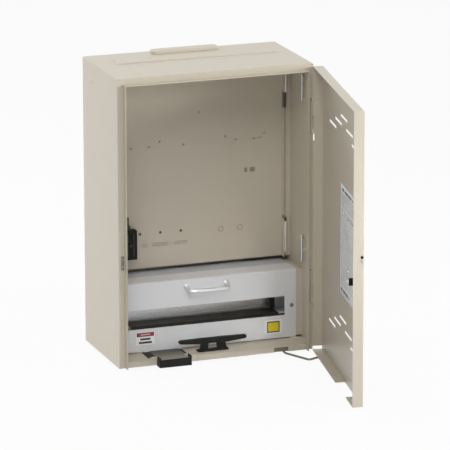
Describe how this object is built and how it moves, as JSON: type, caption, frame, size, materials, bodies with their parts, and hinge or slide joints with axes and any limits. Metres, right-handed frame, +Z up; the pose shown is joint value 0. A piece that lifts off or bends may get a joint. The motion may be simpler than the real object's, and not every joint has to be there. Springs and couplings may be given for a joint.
{
  "type": "electric meter box",
  "caption": "Wall-mounted sheet-steel box with an open louvred door, a hinged meter panel, a breaker window in a lift-out escutcheon, a horn cleat and a sliding cable entry.",
  "frame": {"origin": "centre of the back face, on the wall", "axes": "+Z up, +Y into the wall (the box's front looks along -Y), +X to the right seen from the front"},
  "size_m": [0.5031, 0.7235, 0.7049],
  "materials": {
    "beige_paint": "semi-gloss stoved beige enamel",
    "grey_paint": "satin grey enamel",
    "zinc_plate": "bright zinc plate",
    "black_plastic": "satin black moulding",
    "lock_chrome": "satin chrome",
    "printed_sheet": "printed adhesive sheet",
    "rod_steel": "yellow-passivated wire"
  },
  "bodies": {
    "case": {"case_wrapper": "beige_paint", "case_back": "beige_paint", "case_floor": "beige_paint", "top_entry_cover": "beige_paint", "door_keeper": "beige_paint", "keeper_rivets": "zinc_plate", "upper_case_hinge": "beige_paint", "lower_case_hinge": "beige_paint", "door_hinge_pins": "zinc_plate", "left_side_bracket": "beige_paint", "right_side_bracket": "beige_paint", "divider_shelf": "grey_paint", "floor_tabs": "beige_paint", "left_rail_bracket": "grey_paint", "right_rail_bracket": "grey_paint", "mounting_rail": "zinc_plate", "rail_screws": "zinc_plate", "rail_end_stop": "black_plastic", "busbar_cover": "black_plastic", "busbar_cover_screws": "zinc_plate", "upper_panel_hinge_case_half": "zinc_plate", "lower_panel_hinge_case_half": "zinc_plate", "panel_hinge_pins": "zinc_plate", "upper_front_hinge_leaf": "zinc_plate", "lower_front_hinge_leaf": "zinc_plate", "front_leaf_screws": "zinc_plate", "panel_latch_catch": "zinc_plate", "horn_cleat": "black_plastic", "cleat_screws": "zinc_plate", "slide_guides": "beige_paint", "stay_guide": "zinc_plate", "slide_rails": "black_plastic", "panel_hinge_post": "beige_paint"},
    "door": {"door_panel": "beige_paint", "upper_door_hinge": "beige_paint", "lower_door_hinge": "beige_paint", "door_label": "printed_sheet", "lock_barrel": "lock_chrome", "lock_nut": "zinc_plate", "door_edge_plug": "black_plastic", "door_edge_screw": "zinc_plate"},
    "lock": {"lock_plug": "lock_chrome", "lock_cam": "zinc_plate", "lock_cam_screw": "zinc_plate"},
    "panel": {"meter_panel": "beige_paint", "upper_panel_hinge_leaf": "zinc_plate", "lower_panel_hinge_leaf": "zinc_plate", "panel_latch_block": "black_plastic", "panel_latch_hook": "zinc_plate"},
    "latch_bolt": {"panel_latch_bolt": "zinc_plate"},
    "face": {"escutcheon": "grey_paint", "escutcheon_handle": "zinc_plate", "left_sticker": "printed_sheet", "right_sticker": "printed_sheet"},
    "left_screw": {"left_captive_screw": "zinc_plate"},
    "right_screw": {"right_captive_screw": "zinc_plate"},
    "slide": {"entry_slide": "beige_paint", "slide_cap": "black_plastic"},
    "stay": {"stay_rod": "rod_steel", "stay_collar": "rod_steel"}
  },
  "joints": [
    {"name": "door_hinge", "type": "hinge", "parent": "case", "child": "door", "pos_m": [0.236, -0.2534, 0.013], "axis": [0, 0, 1], "range_deg": [-80.25, 0]},
    {"name": "lock_turn", "type": "hinge", "parent": "door", "child": "lock", "pos_m": [0.17292, -0.68901, -0.061], "axis": [0.9856, -0.1693, 0], "range_deg": [0, 90]},
    {"name": "panel_hinge", "type": "hinge", "parent": "case", "child": "panel", "pos_m": [0.225, -0.112, 0.089], "axis": [0, 0, 1], "range_deg": [0, 78]},
    {"name": "latch_bolt_slide", "type": "slide", "parent": "panel", "child": "latch_bolt", "axis": [-1, 0, 0], "range_m": [0, 0.014]},
    {"name": "escutcheon_pull", "type": "slide", "parent": "case", "child": "face", "axis": [0, -1, 0], "range_m": [0, 0.016]},
    {"name": "left_screw_turn", "type": "hinge", "parent": "face", "child": "left_screw", "pos_m": [-0.2104, -0.186, -0.251], "axis": [0, 1, 0], "continuous": true},
    {"name": "right_screw_turn", "type": "hinge", "parent": "face", "child": "right_screw", "pos_m": [0.2104, -0.186, -0.251], "axis": [0, 1, 0], "continuous": true},
    {"name": "entry_slide_out", "type": "slide", "parent": "case", "child": "slide", "axis": [0, -1, 0], "range_m": [0, 0.05]},
    {"name": "stay_slide", "type": "slide", "parent": "case", "child": "stay", "axis": [-0.4258, 0.9048, 0], "range_m": [0, 0.062]}
  ],
  "couplings": [
    {"joint": "stay_slide", "follows": "door_hinge", "m_per_rad": -0.04426}
  ]
}
